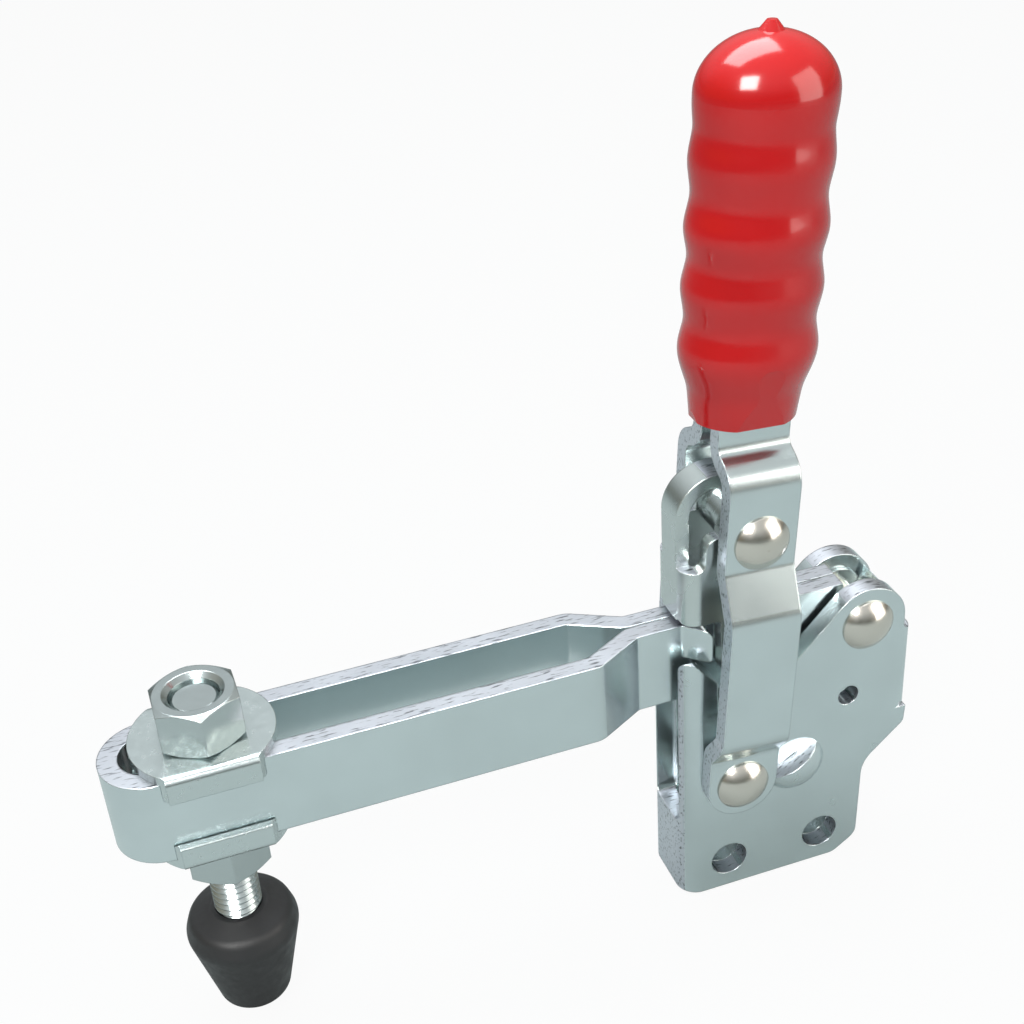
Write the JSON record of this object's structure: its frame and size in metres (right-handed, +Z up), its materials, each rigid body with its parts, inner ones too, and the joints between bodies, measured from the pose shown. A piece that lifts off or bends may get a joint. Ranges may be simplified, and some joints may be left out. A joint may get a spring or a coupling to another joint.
{
  "type": "toggle clamp",
  "caption": "Toggle clamp with an upright moulded handle, a straight base bolted from the side, and a slotted U-shaped bar with a rubber-tipped spindle.",
  "frame": {"origin": "midway between the two mounting holes, on the base's +Y side face", "axes": "+Z up along the closed handle, +X from the spindle to the base, +Y out of the mounting side"},
  "size_m": [0.1392, 0.028, 0.1557],
  "materials": {
    "zinc_steel": "zinc plated, satin",
    "rivet_steel": "polished",
    "fastener_steel": "zinc plated, bright",
    "grip_red": "gloss",
    "black_rubber": "matt"
  },
  "bodies": {
    "base": {"base_frame": "zinc_steel", "handle_rivet": "rivet_steel", "handle_spacer": "zinc_steel", "rear_rivet": "rivet_steel", "rear_washer_left": "zinc_steel", "rear_washer_right": "zinc_steel", "mount_spacer_front": "zinc_steel", "mount_spacer_rear": "zinc_steel"},
    "handle": {"handle_plate_left": "zinc_steel", "handle_plate_right": "zinc_steel", "grip": "grip_red", "link_rivet": "rivet_steel", "link_spacer": "zinc_steel", "link_washer_left": "zinc_steel", "link_washer_right": "zinc_steel"},
    "link": {"toggle_link": "zinc_steel", "bar_rivet": "rivet_steel"},
    "bar": {"u_bar": "zinc_steel"},
    "carriage": {"top_washer": "zinc_steel", "bottom_washer": "zinc_steel", "top_nut": "fastener_steel", "bottom_nut": "fastener_steel"},
    "spindle": {"spindle": "fastener_steel", "rubber_tip": "black_rubber"}
  },
  "joints": [
    {"name": "handle_fold", "type": "hinge", "parent": "base", "child": "handle", "pos_m": [-0.0083, -0.0075, 0.0202], "axis": [0, 1, 0], "range_deg": [0, 50]},
    {"name": "link_turn", "type": "hinge", "parent": "handle", "child": "link", "pos_m": [-0.00536, -0.0075, 0.06961], "axis": [0, 1, 0], "range_deg": [0, 84.93]},
    {"name": "bar_turn", "type": "hinge", "parent": "link", "child": "bar", "pos_m": [-0.00688, -0.0075, 0.04416], "axis": [0, 1, 0], "range_deg": [-47.47, 0]},
    {"name": "slot_slide", "type": "slide", "parent": "bar", "child": "carriage", "axis": [1, 0, 0], "range_m": [-0.009, 0.052]},
    {"name": "spindle_feed", "type": "slide", "parent": "carriage", "child": "spindle", "axis": [0, 0, 1], "range_m": [-0.01, 0.0095]}
  ],
  "couplings": [
    {"joint": "link_turn", "follows": "handle_fold", "ratio": 1.6947},
    {"joint": "bar_turn", "follows": "handle_fold", "ratio": -0.94536}
  ]
}
